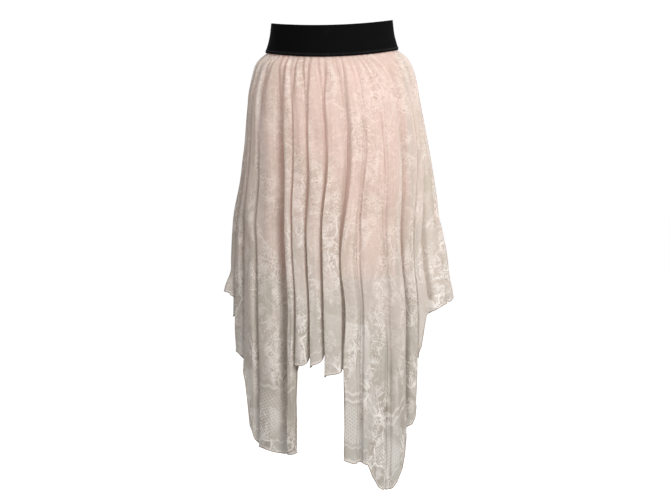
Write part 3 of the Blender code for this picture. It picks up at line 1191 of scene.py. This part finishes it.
@dataclass
class Elastic:
    """The wide waistband: a tube of ribbed elastic, stitched to the lace along its lower edge.

    Attributes:
        waist: the line of its edges.
        length: its length round, at the lower edge.
        rise: its height.
        wall: its thickness.
        columns: the mesh's fineness round it.
        face_rows: the mesh's fineness up each face.
        stitch: the length of one zigzag of the stitching.
        stitch_height: where the zigzag starts, as a share of the height.
        pull: how far the stitching draws the elastic in.
    """

    waist: Waist
    length: float = 0.72
    rise: float = 0.058
    wall: float = 0.0020
    columns: int = 288
    face_rows: int = 20
    stitch: float = 0.0042
    stitch_height: float = 0.055
    pull: float = 0.00035

    def surface(self, azimuth: np.ndarray, height: np.ndarray, inward: np.ndarray) -> np.ndarray:
        """Points of the elastic.

        Args:
            azimuth: the angle round from the front.
            height: the share of the way from the lower edge to the upper one.
            inward: the depth below the outer face.

        Returns:
            The points, with their three numbers last.
        """
        lower = self.waist.edge(azimuth, False)
        upper = self.waist.edge(azimuth, True)
        gathered = wander(azimuth, 41, (47, 61, 83), TURN)
        drawn = self.pull * gathered * (1 - ease(height / 0.35))
        x, y = on_oval(
            read_table(BAND, "half_width", height),
            read_table(BAND, "half_depth", height),
            np.zeros_like(azimuth),
            azimuth,
            -inward + drawn - self.pull,
        )
        return np.stack([x, y, lower + height * (upper - lower)], axis=-1)

    def profile(self) -> list[tuple[float, float]]:
        """Draws one section's outline, from the bottom up the outer face and down the inner one.

        Returns:
            Pairs of a height, as a share of the whole, and a depth below the outer face.
        """
        rim = 0.5 * self.wall
        shrink = 1 - 2 * rim / self.rise
        top = 0.5 + 0.5 * shrink
        steps = [i / self.face_rows for i in range(self.face_rows + 1)]
        face = [0.5 + (height - 0.5) * shrink for height in steps]
        turn = [math.radians(angle) for angle in (30, 60, 90, 120, 150, 180)]
        outline = [(height, 0.0) for height in face]
        outline += [
            (top + rim * math.sin(a) / self.rise, rim * (1 - math.cos(a))) for a in turn
        ]
        outline += [(height, self.wall) for height in face[::-1][1:]]
        outline += [
            (1 - top - rim * math.sin(a) / self.rise, rim * (1 + math.cos(a))) for a in turn[:-1]
        ]
        return outline

    def build(self, finish: RibbedElastic, thread: Thread) -> list[bpy.types.Object]:
        """Makes the tube and its stitching.

        Args:
            finish: the elastic's finish.
            thread: the sewing thread's finish.

        Returns:
            The tube first, then its stitches.
        """
        outline = self.profile()
        azimuth, row = np.meshgrid(
            np.arange(self.columns) * TURN / self.columns,
            np.arange(len(outline) + 1),
            indexing="ij",
        )
        shape = np.array(outline + outline[:1])
        points = self.surface(azimuth, shape[row, 0], shape[row, 1])
        grid = SheetOfPoints(points[:, ::-1], closed=True)
        steps = np.hypot(np.diff(shape[:, 0]) * self.rise, np.diff(shape[:, 1]))
        run = np.concatenate([[0.0], np.cumsum(steps)])
        around = azimuth / TURN
        up = run[row]
        grid.maps["band"] = np.stack([around * self.length, up], axis=-1)[:, ::-1]
        grid.maps["OFBake"] = np.stack([around * 0.99, up / run[-1] * 0.99], axis=-1)[:, ::-1]
        band = grid.build("waistband_elastic", finish.material())
        self.weld(band)
        return [band, self.zigzag().build("waistband_stitching", thread.material())]

    @staticmethod
    def weld(band: bpy.types.Object) -> None:
        """Joins the outline's last row of points to its first, which closes the tube's wall.

        Args:
            band: the elastic's mesh object.
        """
        weld = band.modifiers.new("Weld", "WELD")
        weld.merge_threshold = 0.00001
        bpy.context.view_layer.objects.active = band
        with bpy.context.temp_override(object=band):
            bpy.ops.object.modifier_apply(modifier=weld.name)

    def zigzag(self) -> StitchRow:
        """Sews the zigzag that holds the gathers, just above the lower edge.

        Returns:
            The row of stitches.
        """
        count = int(self.length / self.stitch) * 2
        number = np.arange(count + 1)
        high = np.where(number % 2 == 0, self.stitch_height, self.stitch_height * 2)
        turn = number * TURN / count
        points = self.surface(turn, high, np.zeros_like(turn))
        ends = np.stack([points[:-1], points[1:]], axis=1)
        return StitchRow(ends, level_outward(ends.mean(axis=1)))


@dataclass
class LaceDrape:
    """The form of the hanging lace, in folds that are gathered under the elastic.

    Attributes:
        waist: the line of the elastic's lower edge, where drops start.
        gathers: whole gathers in each fold.
        rounding: how round the cloth turns in open folds.
        narrowing: how much narrower the valleys are than the crests.
        open_narrowing: the same for the folds that stand open.
        open_folds: the folds whose next valley stands open.
        hip_drop: where the folds have moved to their places at the hips.
        low_drop: where they have moved to their places at the hem.
        flick_length: the length of hem that flicks out.
        fullness: how deep the valleys hang right in front, as a share of the solid's.
        fine_gather: the height of the smallest gathers.
        crease: the height of the creases between folds.
        sway: how far a fold strays sideways as it falls, in radians.
        ruffle: the height of the hem's ripples.
    """

    waist: Waist
    gathers: int = 2
    rounding: float = 0.85
    narrowing: float = 1.20
    open_narrowing: float = 0.70
    open_folds: tuple[int, ...] = (3,)
    hip_drop: float = 0.1100
    low_drop: float = 0.4200
    flick_length: float = 0.0450
    fullness: float = 0.70
    fine_gather: float = 0.0013
    crease: float = 0.0015
    sway: float = math.radians(0.55)
    ruffle: float = 0.0016

    def stations(self, column: str) -> tuple[np.ndarray, np.ndarray]:
        """Lists where crests and valleys stand in turn, from two folds before the first.

        Args:
            column: the table's column that gives the crests' azimuths.

        Returns:
            The azimuths of folds that haven't opened, and how far they lean once they have.
        """
        count = len(FOLDS)
        numbers = np.arange(-2, count + 3)
        places = np.array(
            [360.0 * (k // count) + getattr(FOLDS[k % count], column) for k in numbers]
        )
        gaps = np.diff(places)
        lean = np.array([FOLDS[k % count].valley_at - 0.5 for k in numbers[:-1]])
        level = np.stack([places[:-1], places[:-1] + 0.5 * gaps], axis=-1).reshape(-1)
        grown = np.stack([np.zeros_like(gaps), lean * gaps], axis=-1).reshape(-1)
        return level, grown

    def around(self, column: str, fold: np.ndarray, growth: np.ndarray) -> np.ndarray:
        """The azimuth of each column at one of the table's levels, in degrees.

        Args:
            column: the table's column that gives the crests' azimuths.
            fold: the fold number of each column of points.
            growth: how far the folds have opened at each point.

        Returns:
            The azimuths, columns by rows.
        """
        level, grown = self.stations(column)
        place = 2.0 * fold + 4.0
        i = np.floor(place).astype(int)
        opened = np.minimum(growth, 1.0)
        pressed = np.minimum(1.8 * growth, 1.0)
        t = np.broadcast_to((place - i)[:, None], growth.shape)
        t = t + self.rounding * opened * np.sin(TURN * t) / (TURN)
        stands_open = np.isin((i - 4) // 2, self.open_folds)
        narrow = np.where(stands_open, self.open_narrowing, self.narrowing)
        towards_valley = np.where(i % 2 == 0, narrow, -narrow)[:, None]
        t = t + pressed * towards_valley * t * (1.0 - t)
        before, here, after, beyond = (
            level[i + k][:, None] + opened * grown[i + k][:, None] for k in (-1, 0, 1, 2)
        )
        return 0.5 * (
            2 * here
            + (after - before) * t
            + (2 * before - 5 * here + 4 * after - beyond) * t * t
            + (3 * here - before - 3 * after + beyond) * t**3
        )

    def between(self, fold: np.ndarray, crest_column: str, valley_column: str) -> np.ndarray:
        """Eases from each crest's value in the fold table to its valley's and on to the next crest's.

        Args:
            fold: the fold numbers to read it at.
            crest_column: the column with the crests' values.
            valley_column: the column with the valleys' values.

        Returns:
            The value at each fold number.
        """
        count = len(FOLDS)
        k = np.floor(fold).astype(int)
        half = 2.0 * (fold - k)
        crests = np.array([getattr(row, crest_column) for row in FOLDS])
        valleys = np.array([getattr(row, valley_column) for row in FOLDS])
        down = crests[k % count] + gentle_ease(half) * (valleys - crests)[k % count]
        rise = crests[(k + 1) % count] - valleys[k % count]
        up = valleys[k % count] + gentle_ease(half - 1.0) * rise
        return np.where(half < 1.0, down, up)

    def hem(self, fold: np.ndarray) -> np.ndarray:
        """Finds the hem, which steps and slants across the folds in front.

        Args:
            fold: the fold numbers to find it at.

        Returns:
            Its drop at each of them.
        """
        places, drops = zip(*FRONT_HEM)
        in_front = (fold >= places[0]) & (fold <= places[-1])
        eased = self.between(fold, "crest_hem", "valley_hem")
        return np.where(in_front, np.interp(fold, places, drops), eased)

    def unevenness(self, fold: np.ndarray, drop: np.ndarray, hem: np.ndarray) -> np.ndarray:
        """The small gathers, creases and ripples that the folds carry, as a height outward.

        Args:
            fold: the fold number of each point.
            drop: its drop.
            hem: the drop of the hem below it.

        Returns:
            The height at each point, in metres.
        """
        count = len(FOLDS)
        share = wander(fold, 7, (9, 14, 23), count)
        fine_fall = curve_through((-0.008, 0.004, 0.02, 0.05, 0.09), (0.15, 0.8, 1.0, 0.5, 0), drop)
        fine = 0.5 + 0.5 * np.sin(TURN * (5.2 * fold + 0.5 * share))
        gathers = self.fine_gather * fine_fall * fine * (0.7 + 0.3 * wander(fold, 8, (17, 29), count))
        crease_fall = curve_through((0.02, 0.09, 0.25, 0.60), (0.0, 0.65, 1.0, 1.25), drop)
        path = 2.6 * fold + 0.35 * wander(drop, 3, (1, 2, 3), 0.55) + 0.4 * share
        crease = np.sin(TURN * path) * (0.45 + 0.55 * np.sin(11 * drop + 2.0 * fold))
        second = 0.45 * np.sin(TURN * (4.44 * fold - 1.7 * drop))
        ripple = np.sin(TURN * (3.32 * fold + 0.6 * share)) * ease(1 - (hem - drop) / 0.05)
        return gathers + self.crease * crease_fall * (crease + second) + self.ruffle * ripple

    def points(self, fold: np.ndarray, drop: np.ndarray) -> np.ndarray:
        """Points of the lace.

        Args:
            fold: the fold number of each column.
            drop: the drop of each point, columns by rows.

        Returns:
            The points, columns by rows by three.
        """
        hem = self.hem(fold)[:, None]
        wide = np.broadcast_to(fold[:, None], drop.shape)
        growth = read_table(RINGS, "growth", drop)
        past_hip = ease((drop - self.hip_drop) / (self.low_drop - self.hip_drop))
        to_hip = np.sin(0.5 * math.pi * np.clip(drop / self.hip_drop, 0.0, 1.0))
        at_waist, at_hip, at_low = (
            self.around(column, fold, growth) for column in ("waist", "hip", "low")
        )
        azimuth = at_waist + to_hip * (at_hip - at_waist) + past_hip * (at_low - at_hip)
        strayed = wander(drop, 5, (1, 2, 4), 0.7) * np.sin(TURN * wide * 7 / len(FOLDS))
        strayed += wander(drop, 6, (1, 3), 0.6) * np.cos(TURN * wide * 11 / len(FOLDS))
        azimuth = np.radians(azimuth) + self.sway * ease(drop / 0.12) * 0.6 * strayed
        facing = ease(1.6 * np.cos(azimuth))
        inward = growth * self.between(fold, "short", "depth")[:, None]
        inward = inward * (1.0 - (1.0 - self.fullness) * facing)
        gather = np.cos(TURN * self.gathers * wide) * (
            0.8 + 0.2 * wander(wide, 9, (11, 19), len(FOLDS))
        )
        flick = self.between(fold, "flick", "flick")[:, None]
        x, y = on_oval(
            read_table(RINGS, "half_width", drop),
            read_table(RINGS, "half_depth", drop),
            read_table(RINGS, "shift", drop),
            azimuth,
            flick * ease(1 - (hem - drop) / self.flick_length)
            + read_table(RINGS, "gather", drop) * gather
            + self.unevenness(wide, drop, hem)
            - inward,
        )
        return np.stack([x, y, self.waist.height(azimuth, drop)], axis=-1)


@dataclass
class LacePanel:
    """Half of the lace, from one side seam to the other, with its rolled hem.

    Attributes:
        side: which half it is.
        drape: the form of the hanging lace.
        first: the first fold of the half.
        last: the first fold of the next half.
        flat: the width and length that this half was cut to; not used.
        flat_area: its flat area, less its share of the hole; not used.
        seam_at: how far before a fold's crest the side seam runs.
        columns_per_fold: the mesh's fineness across.
        rows: its fineness down.
        row_spread: how much closer its rows lie at the top.
        spread: the angle of the flat cloth round the waist's hole, over the whole skirt.
        round_hips: the length of the lace round the hips, over the whole skirt.
        level: the drop at which that length is taken.
        hole: the radius that the folds' flat places start at.
        low_spread: how much of the fan is left below the hips.
        gathered_hole: the radius of the hole that was cut for the waist.
        half_side: half the mean side of the cloth that was cut.
        edging: half the thickness of the rolled hem.
    """

    side: Side
    drape: LaceDrape
    first: int
    last: int
    flat: tuple[float, float]
    flat_area: float
    seam_at: float = 0.125
    columns_per_fold: int = 32
    rows: int = 104
    row_spread: float = 1.2
    spread: float = 4.0
    round_hips: float = 2.25
    level: float = 0.3
    hole: float = 0.24
    low_spread: float = 0.55
    gathered_hole: float = 0.15
    half_side: float = 0.69
    edging: float = 0.0009

    def grid(self) -> tuple[np.ndarray, np.ndarray]:
        """Spaces the mesh over the panel.

        Returns:
            The fold number of each column and the drop of each point.
        """
        count = self.columns_per_fold * (self.last - self.first) + 1
        fold = self.first - self.seam_at + np.arange(count) / self.columns_per_fold
        top = RINGS[0].drop
        share = np.linspace(0.0, 1.0, self.rows) ** self.row_spread
        hem = self.drape.hem(fold)[:, None]
        return fold, top + (hem - top) * share[None, :]

    def flat_places(self, points: np.ndarray, drop: np.ndarray) -> np.ndarray:
        """Where each point lies on the flat cloth, in metres.

        The columns fan out from the hole, and less so below the hips, as the folds do.

        Args:
            points: the hanging points, columns by rows.
            drop: their drops.

        Returns:
            Pairs of coordinates, columns by rows by two.
        """
        low = self.drape.low_drop
        row = int(np.argmin(np.abs(drop - self.level).sum(axis=0)))
        widths = np.linalg.norm(np.diff(points[:, row], axis=0), axis=1)
        run = np.concatenate([[0.0], np.cumsum(widths)])
        fan = self.spread * (run - 0.5 * run[-1])[:, None] / self.round_hips
        radius = self.hole + np.minimum(drop, low)
        below = np.maximum(drop - low, 0.0)
        x = radius * np.sin(fan) + below * np.sin(self.low_spread * fan)
        y = -radius * np.cos(fan) - below * np.cos(self.low_spread * fan)
        return np.stack([x, y], axis=-1)

    def border_places(self, points: np.ndarray, drop: np.ndarray) -> np.ndarray:
        """Where each point lies beside the hem.

        The cloth was cut square, so that an edge is nearer than the hem straight below it.

        Args:
            points: the hanging points, columns by rows.
            drop: their drops.

        Returns:
            The distance from the cut edge and the place along the hem, columns by rows by two.
        """
        hem = drop[:, -1:]
        slant = np.minimum(self.half_side / (self.gathered_hole + hem), 1.0)
        along = np.concatenate(
            [[0.0], np.cumsum(np.linalg.norm(np.diff(points[:, -1], axis=0), axis=1))]
        )
        run = np.broadcast_to(along[:, None], drop.shape)
        return np.stack([(hem - drop) * slant, run], axis=-1)

    def build(self, finish: bpy.types.Material, edge: bpy.types.Material) -> list[bpy.types.Object]:
        """Makes the panel and its rolled hem.

        Args:
            finish: the lace's finish.
            edge: the finish of the overlocked edge.

        Returns:
            The panel first, then its hem edging.
        """
        fold, drop = self.grid()
        points = self.drape.points(fold, drop)
        cloth = SheetOfPoints(points)
        cloth.maps["cut"] = self.flat_places(points, drop)
        cloth.maps["border"] = self.border_places(points, drop)
        cloth.maps["OFBake"] = bake_places(*drop.shape)
        panel = cloth.build(f"lace_panel_{self.side.value}", finish)
        hem = Tube(points[:, -1], self.edging).build(f"lace_hem_{self.side.value}", edge)
        return [panel, hem]

    def seam_path(self) -> np.ndarray:
        """The line of the side seam before the panel's first fold, just inside the lace."""
        fold, drop = self.grid()
        path = self.drape.points(fold[:2], drop[:2])[0]
        return path - self.edging * level_outward(path)


@dataclass
class SlipPanel:
    """Half of the short slip, which hangs in soft waves and is turned up at its hem.

    Attributes:
        side: which half it is.
        waist: the line of the elastic's lower edge, where drops start.
        start: the azimuth of its first side, in radians.
        end: the azimuth of its other side.
        flat: the width and length that it was cut to; not used.
        columns: the mesh's fineness across.
        rows: its fineness down, without the turned-up hem.
        turned_rows: its fineness up the turned-up hem.
        waves: how many waves go round the whole slip.
        wave: their height at the hem.
        turn_up: the height of the turned-up hem.
        turn_gap: how far inside the outer cloth the turned-up hem lies.
        mean_radius: the radius that lengths round the slip are taken at.
        stitch: the spacing of the hem's stitches.
    """

    side: Side
    waist: Waist
    start: float
    end: float
    flat: tuple[float, float] = (0.45, 0.43)
    columns: int = 150
    rows: int = 84
    turned_rows: int = 5
    waves: int = 9
    wave: float = 0.0040
    turn_up: float = 0.0140
    turn_gap: float = 0.0012
    mean_radius: float = 0.145
    stitch: float = 0.0034

    def points(self, azimuth: np.ndarray, drop: np.ndarray, inward: np.ndarray) -> np.ndarray:
        """Places points of the slip.

        Args:
            azimuth: the angle round from the front.
            drop: the drop of each point.
            inward: how far inside its outer face each point lies.

        Returns:
            The points, with their three numbers last.
        """
        fall = ease(drop / HOOPS[-1].drop)
        billow = np.cos(self.waves * azimuth) - 1.0
        crease = wander(azimuth, 21, (13, 22, 31), TURN) * 0.0009
        crease += 0.0006 * np.sin(27 * azimuth + 9 * drop)
        x, y = on_oval(
            read_table(HOOPS, "half_width", drop),
            read_table(HOOPS, "half_depth", drop),
            read_table(HOOPS, "shift", drop),
            azimuth,
            self.wave * fall * billow + (crease - 0.001) * ease(drop / 0.12) - inward,
        )
        return np.stack([x, y, self.waist.height(azimuth, drop)], axis=-1)

    def build(self, finish: bpy.types.Material, thread: bpy.types.Material) -> list:
        """Makes the panel and its hem stitching.

        Args:
            finish: the lining's finish.
            thread: the sewing thread's finish.

        Returns:
            The panel first, then its stitches.
        """
        hem = HOOPS[-1].drop
        turned = np.linspace(hem - 0.0008, hem - self.turn_up, self.turned_rows)
        down = np.concatenate([np.linspace(HOOPS[0].drop, hem, self.rows), turned])
        inside = np.where(np.arange(len(down)) < self.rows, 0.0, self.turn_gap)
        azimuth, drop = np.meshgrid(
            np.linspace(self.start, self.end, self.columns), down, indexing="ij"
        )
        inward = np.broadcast_to(inside[None, :], drop.shape)
        cloth = SheetOfPoints(self.points(azimuth, drop, inward))
        run = self.mean_radius * (azimuth - self.start)
        cloth.maps["cut"] = np.stack([run, -(drop + 2 * inward)], axis=-1)
        cloth.maps["OFBake"] = bake_places(*drop.shape)
        panel = cloth.build(f"slip_panel_{self.side.value}", finish)
        return [panel, self.hem_stitches().build(f"slip_stitching_{self.side.value}", thread)]

    def hem_stitches(self) -> StitchRow:
        """Sews a row of straight stitches along the top of the turned-up hem.

        Returns:
            The row of stitches.
        """
        round_half = self.end - self.start
        count = int(self.mean_radius * round_half / self.stitch)
        number = np.arange(count * 2)
        turn = self.start + round_half * (number // 2 + 0.12 + 0.70 * (number % 2)) / count
        drop = np.full_like(turn, HOOPS[-1].drop - 0.85 * self.turn_up)
        points = self.points(turn, drop, np.full_like(turn, -0.0001))
        ends = points.reshape(count, 2, 3)
        return StitchRow(ends, level_outward(ends.mean(axis=1)), radius=0.00028, lift=0.0002)


@dataclass
class Studio:
    """The pale floor, the soft lights and the camera at the picture's angle.

    Attributes:
        floor_height: how high the floor lies.
        floor_size: how far out it sweeps up into a wall.
        wall_height: how steeply the wall rises.
        camera_place: where the camera stands.
        tilt: how far it looks down, in degrees.
        lens: its focal length in millimetres.
        air_colour: the colour of the light from all round.
        air_strength: how strong that light is.
    """

    floor_height: float = -1.32
    floor_size: float = 9.0
    wall_height: float = 6.0
    camera_place: Place = (0.006, -3.0, 0.030)
    tilt: float = 8.536
    lens: float = 81.5
    air_colour: Colour = (0.97, 0.99, 1.0)
    air_strength: float = 0.46

    def build(self) -> None:
        """Makes the whole studio."""
        self.floor()
        self.camera()
        for lamp in LAMPS:
            self.light(lamp)
        world = bpy.data.worlds.new("studio_air")
        world.use_nodes = True
        air = world.node_tree.nodes["Background"]
        air.inputs["Color"].default_value = (*self.air_colour, 1.0)
        air.inputs["Strength"].default_value = self.air_strength
        bpy.context.scene.view_settings.view_transform = "Standard"
        bpy.context.scene.world = world

    def floor(self) -> None:
        """A wide pale floor well below the hem, which sweeps up all round into a wall."""
        turn, reach = np.meshgrid(
            np.arange(64) * TURN / 64, np.linspace(0.0, 1.0, 40), indexing="ij"
        )
        radius = 0.0005 + self.floor_size * ease(reach / 0.8) ** 0.8
        height = self.floor_height + self.wall_height * np.maximum(reach - 0.55, 0.0) ** 2 / 0.2
        paper = np.stack([radius * np.cos(turn), radius * np.sin(turn), height], axis=-1)
        floor = SheetOfPoints(paper, closed=True).build("studio_floor", StudioPaper().material())
        for rays in ("visible_diffuse", "visible_glossy", "visible_transmission", "visible_shadow"):
            setattr(floor, rays, False)

    def camera(self) -> None:
        """The camera, level with the elastic and tilted down to the skirt's middle."""
        lens = bpy.data.cameras.new("picture")
        lens.lens = self.lens
        lens.sensor_width = 36.0
        camera = bpy.data.objects.new("picture", lens)
        camera.location = self.camera_place
        camera.rotation_euler = (math.radians(90.0 - self.tilt), 0.0, 0.0)
        bpy.context.scene.collection.objects.link(camera)
        bpy.context.scene.camera = camera

    @staticmethod
    def light(lamp: Lamp) -> None:
        """Hangs a soft square light that faces the skirt.

        Args:
            lamp: its place, side, power and colour.
        """
        panel = bpy.data.lights.new(lamp.name, "AREA")
        panel.size = lamp.side
        panel.energy = lamp.power
        panel.color = lamp.colour
        hung = bpy.data.objects.new(lamp.name, panel)
        hung.location = lamp.place
        hung.visible_camera = False
        aim = Vector((0.0, 0.0, -0.40)) - Vector(lamp.place)
        hung.rotation_euler = aim.to_track_quat("-Z", "Y").to_euler()
        bpy.context.scene.collection.objects.link(hung)


@dataclass
class Skirt:
    """The whole skirt, put together from its pieces.

    Attributes:
        waist: the line of the elastic's edges.
        front_folds: how many of the lace's folds hang in front.
    """

    waist: Waist = field(default_factory=Waist)
    front_folds: int = 15

    def settle(self, pieces: Iterable[bpy.types.Object]) -> None:
        """Fixes pieces to the skirt's one body and logs how many faces each has.

        Args:
            pieces: the mesh objects.
        """
        for piece in pieces:
            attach(piece, "root")
            log.info("%s: %d faces", piece.name, len(piece.data.polygons))

    def build(self) -> None:
        """Builds each piece in order."""
        self.build_elastic()
        self.build_lace()
        self.build_slip()

    def build_elastic(self) -> None:
        """The waistband and its stitching."""
        thread = Thread("black_sewing_thread", (0.010, 0.010, 0.011), 0.0006)
        band, stitches = Elastic(self.waist).build(RibbedElastic(), thread)
        self.settle([band, stitches])
        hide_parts("waistband")

    def build_lace(self) -> None:
        """Both halves of the lace, their rolled hems and the side seams."""
        drape = LaceDrape(self.waist)
        lace = FloralLace().material()
        # Painted shade: the overlocked hem and the side seams take a dark brown that stands for the
        # shadow along the hem.
        edge = Thread("overlocked_edge_painted_shade", (0.34, 0.26, 0.21), 0.0016).material()
        front = LacePanel(Side.FRONT, drape, 0, self.front_folds, (1.275, 0.735), 0.90)
        back = LacePanel(Side.BACK, drape, self.front_folds, len(FOLDS), (1.275, 0.705), 0.86)
        for panel in (front, back):
            seam = Tube(panel.seam_path(), 0.0008).build(f"side_seam_{panel.side.value}", edge)
            cloth, hem = panel.build(lace, edge)
            self.settle([cloth, hem, seam])
            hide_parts(f"lace_{panel.side.value}")

    def build_slip(self) -> None:
        """Both halves of the slip and their hem stitching."""
        lining = BlushLining().material()
        thread = Thread("blush_sewing_thread", (0.74, 0.48, 0.41), 0.0006).material()
        quarter = 0.5 * math.pi
        for panel in (
            SlipPanel(Side.FRONT, self.waist, -quarter, quarter),
            SlipPanel(Side.BACK, self.waist, quarter, 3 * quarter),
        ):
            cloth, stitches = panel.build(lining, thread)
            self.settle([cloth, stitches])
            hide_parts(f"lining_{panel.side.value}")


def main() -> None:
    """Builds the skirt and its studio."""
    logging.basicConfig(level=logging.INFO, format="%(name)s %(message)s")
    Skirt().build()
    Studio().build()


if __name__ == "__main__":
    main()
